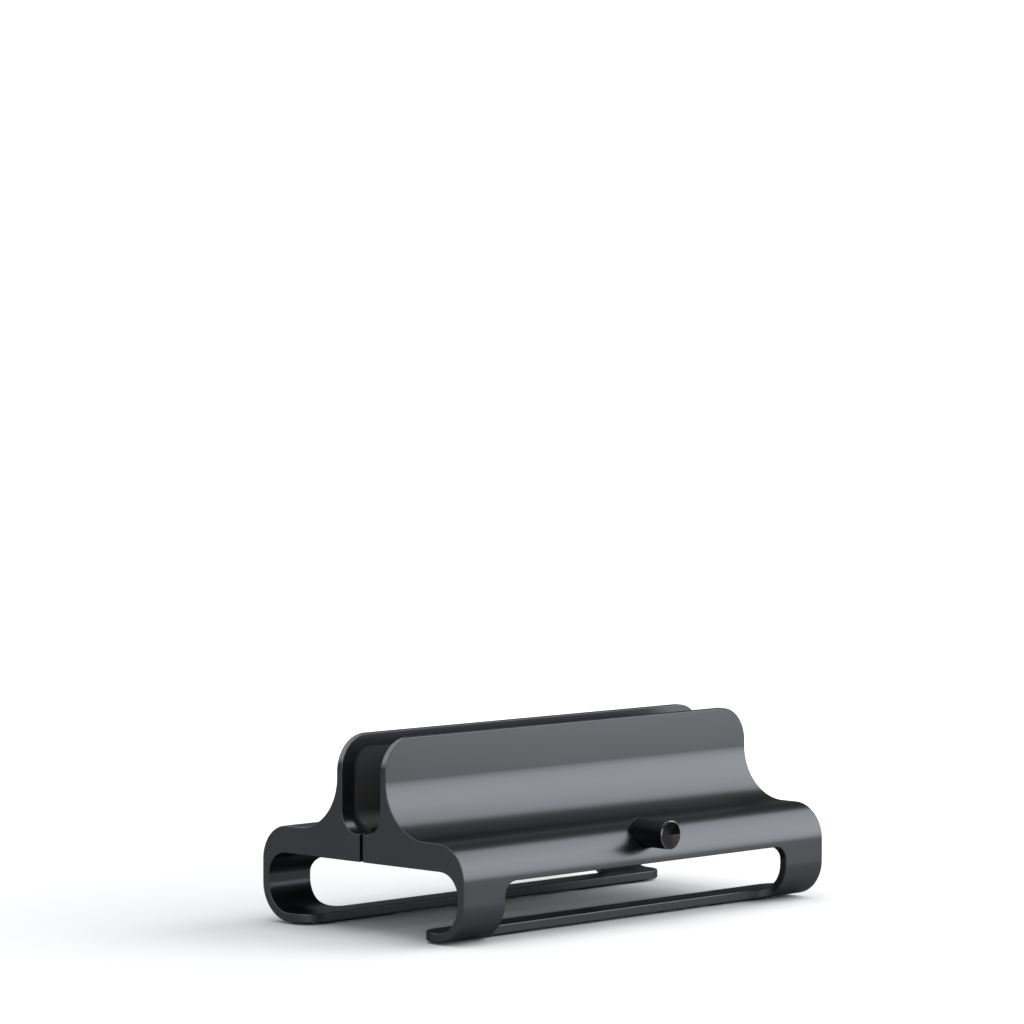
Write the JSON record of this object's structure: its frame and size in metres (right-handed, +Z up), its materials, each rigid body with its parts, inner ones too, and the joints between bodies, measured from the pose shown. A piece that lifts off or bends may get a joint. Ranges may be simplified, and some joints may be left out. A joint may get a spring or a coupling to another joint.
{
  "type": "vertical laptop dock",
  "caption": "Adjustable vertical laptop dock: two mirrored S-profile aluminium halves on guide rods, drawn together by a knurled knob and lead screw.",
  "frame": {"origin": "middle of the whole outline, knob included, on the surface that the foot pads stand on", "axes": "+Z up; +X along the stand, to the right seen from the knob; +Y from the knob towards the rear half"},
  "size_m": [0.1758, 0.1046, 0.0648],
  "materials": {
    "anodised_aluminium": "dark space-grey satin anodised, fine lengthwise grain",
    "knob_aluminium": "black anodised, straight knurl and a spun end face",
    "silicone": "matt black silicone",
    "black_steel": "black powder coat",
    "dark_fastener": "black oxide",
    "bright_steel": "ground bright steel",
    "brass": "machined brass",
    "acetal": "natural white acetal",
    "black_acetal": "black acetal"
  },
  "bodies": {
    "front_half": {"front_cradle": "anodised_aluminium", "front_liner": "silicone", "front_left_foot_pad": "silicone", "front_right_foot_pad": "silicone", "front_cover_plate": "black_steel", "front_cover_screws": "dark_fastener", "guide_bush_left": "acetal", "guide_bush_right": "acetal", "knob_thrust_washer": "black_acetal", "retaining_washer": "bright_steel"},
    "screw_drive": {"knob": "knob_aluminium", "knob_set_screw": "dark_fastener", "lead_screw": "bright_steel", "retaining_clip": "bright_steel"},
    "rear_half": {"rear_cradle": "anodised_aluminium", "rear_liner": "silicone", "rear_left_foot_pad": "silicone", "rear_right_foot_pad": "silicone", "rear_cover_plate": "black_steel", "rear_cover_screws": "dark_fastener", "travel_nut": "brass", "guide_rod_left": "bright_steel", "guide_rod_right": "bright_steel"}
  },
  "joints": [
    {"name": "jaw_slide", "type": "slide", "parent": "front_half", "child": "rear_half", "axis": [0, 1, 0], "range_m": [-0.0013, 0.0165]},
    {"name": "knob_turn", "type": "hinge", "parent": "front_half", "child": "screw_drive", "pos_m": [0, 0.00465, 0.03], "axis": [0, -1, 0], "range_deg": [-471.6, 5943.6]}
  ],
  "couplings": [
    {"joint": "knob_turn", "follows": "jaw_slide", "rad_per_m": 6283.2}
  ]
}
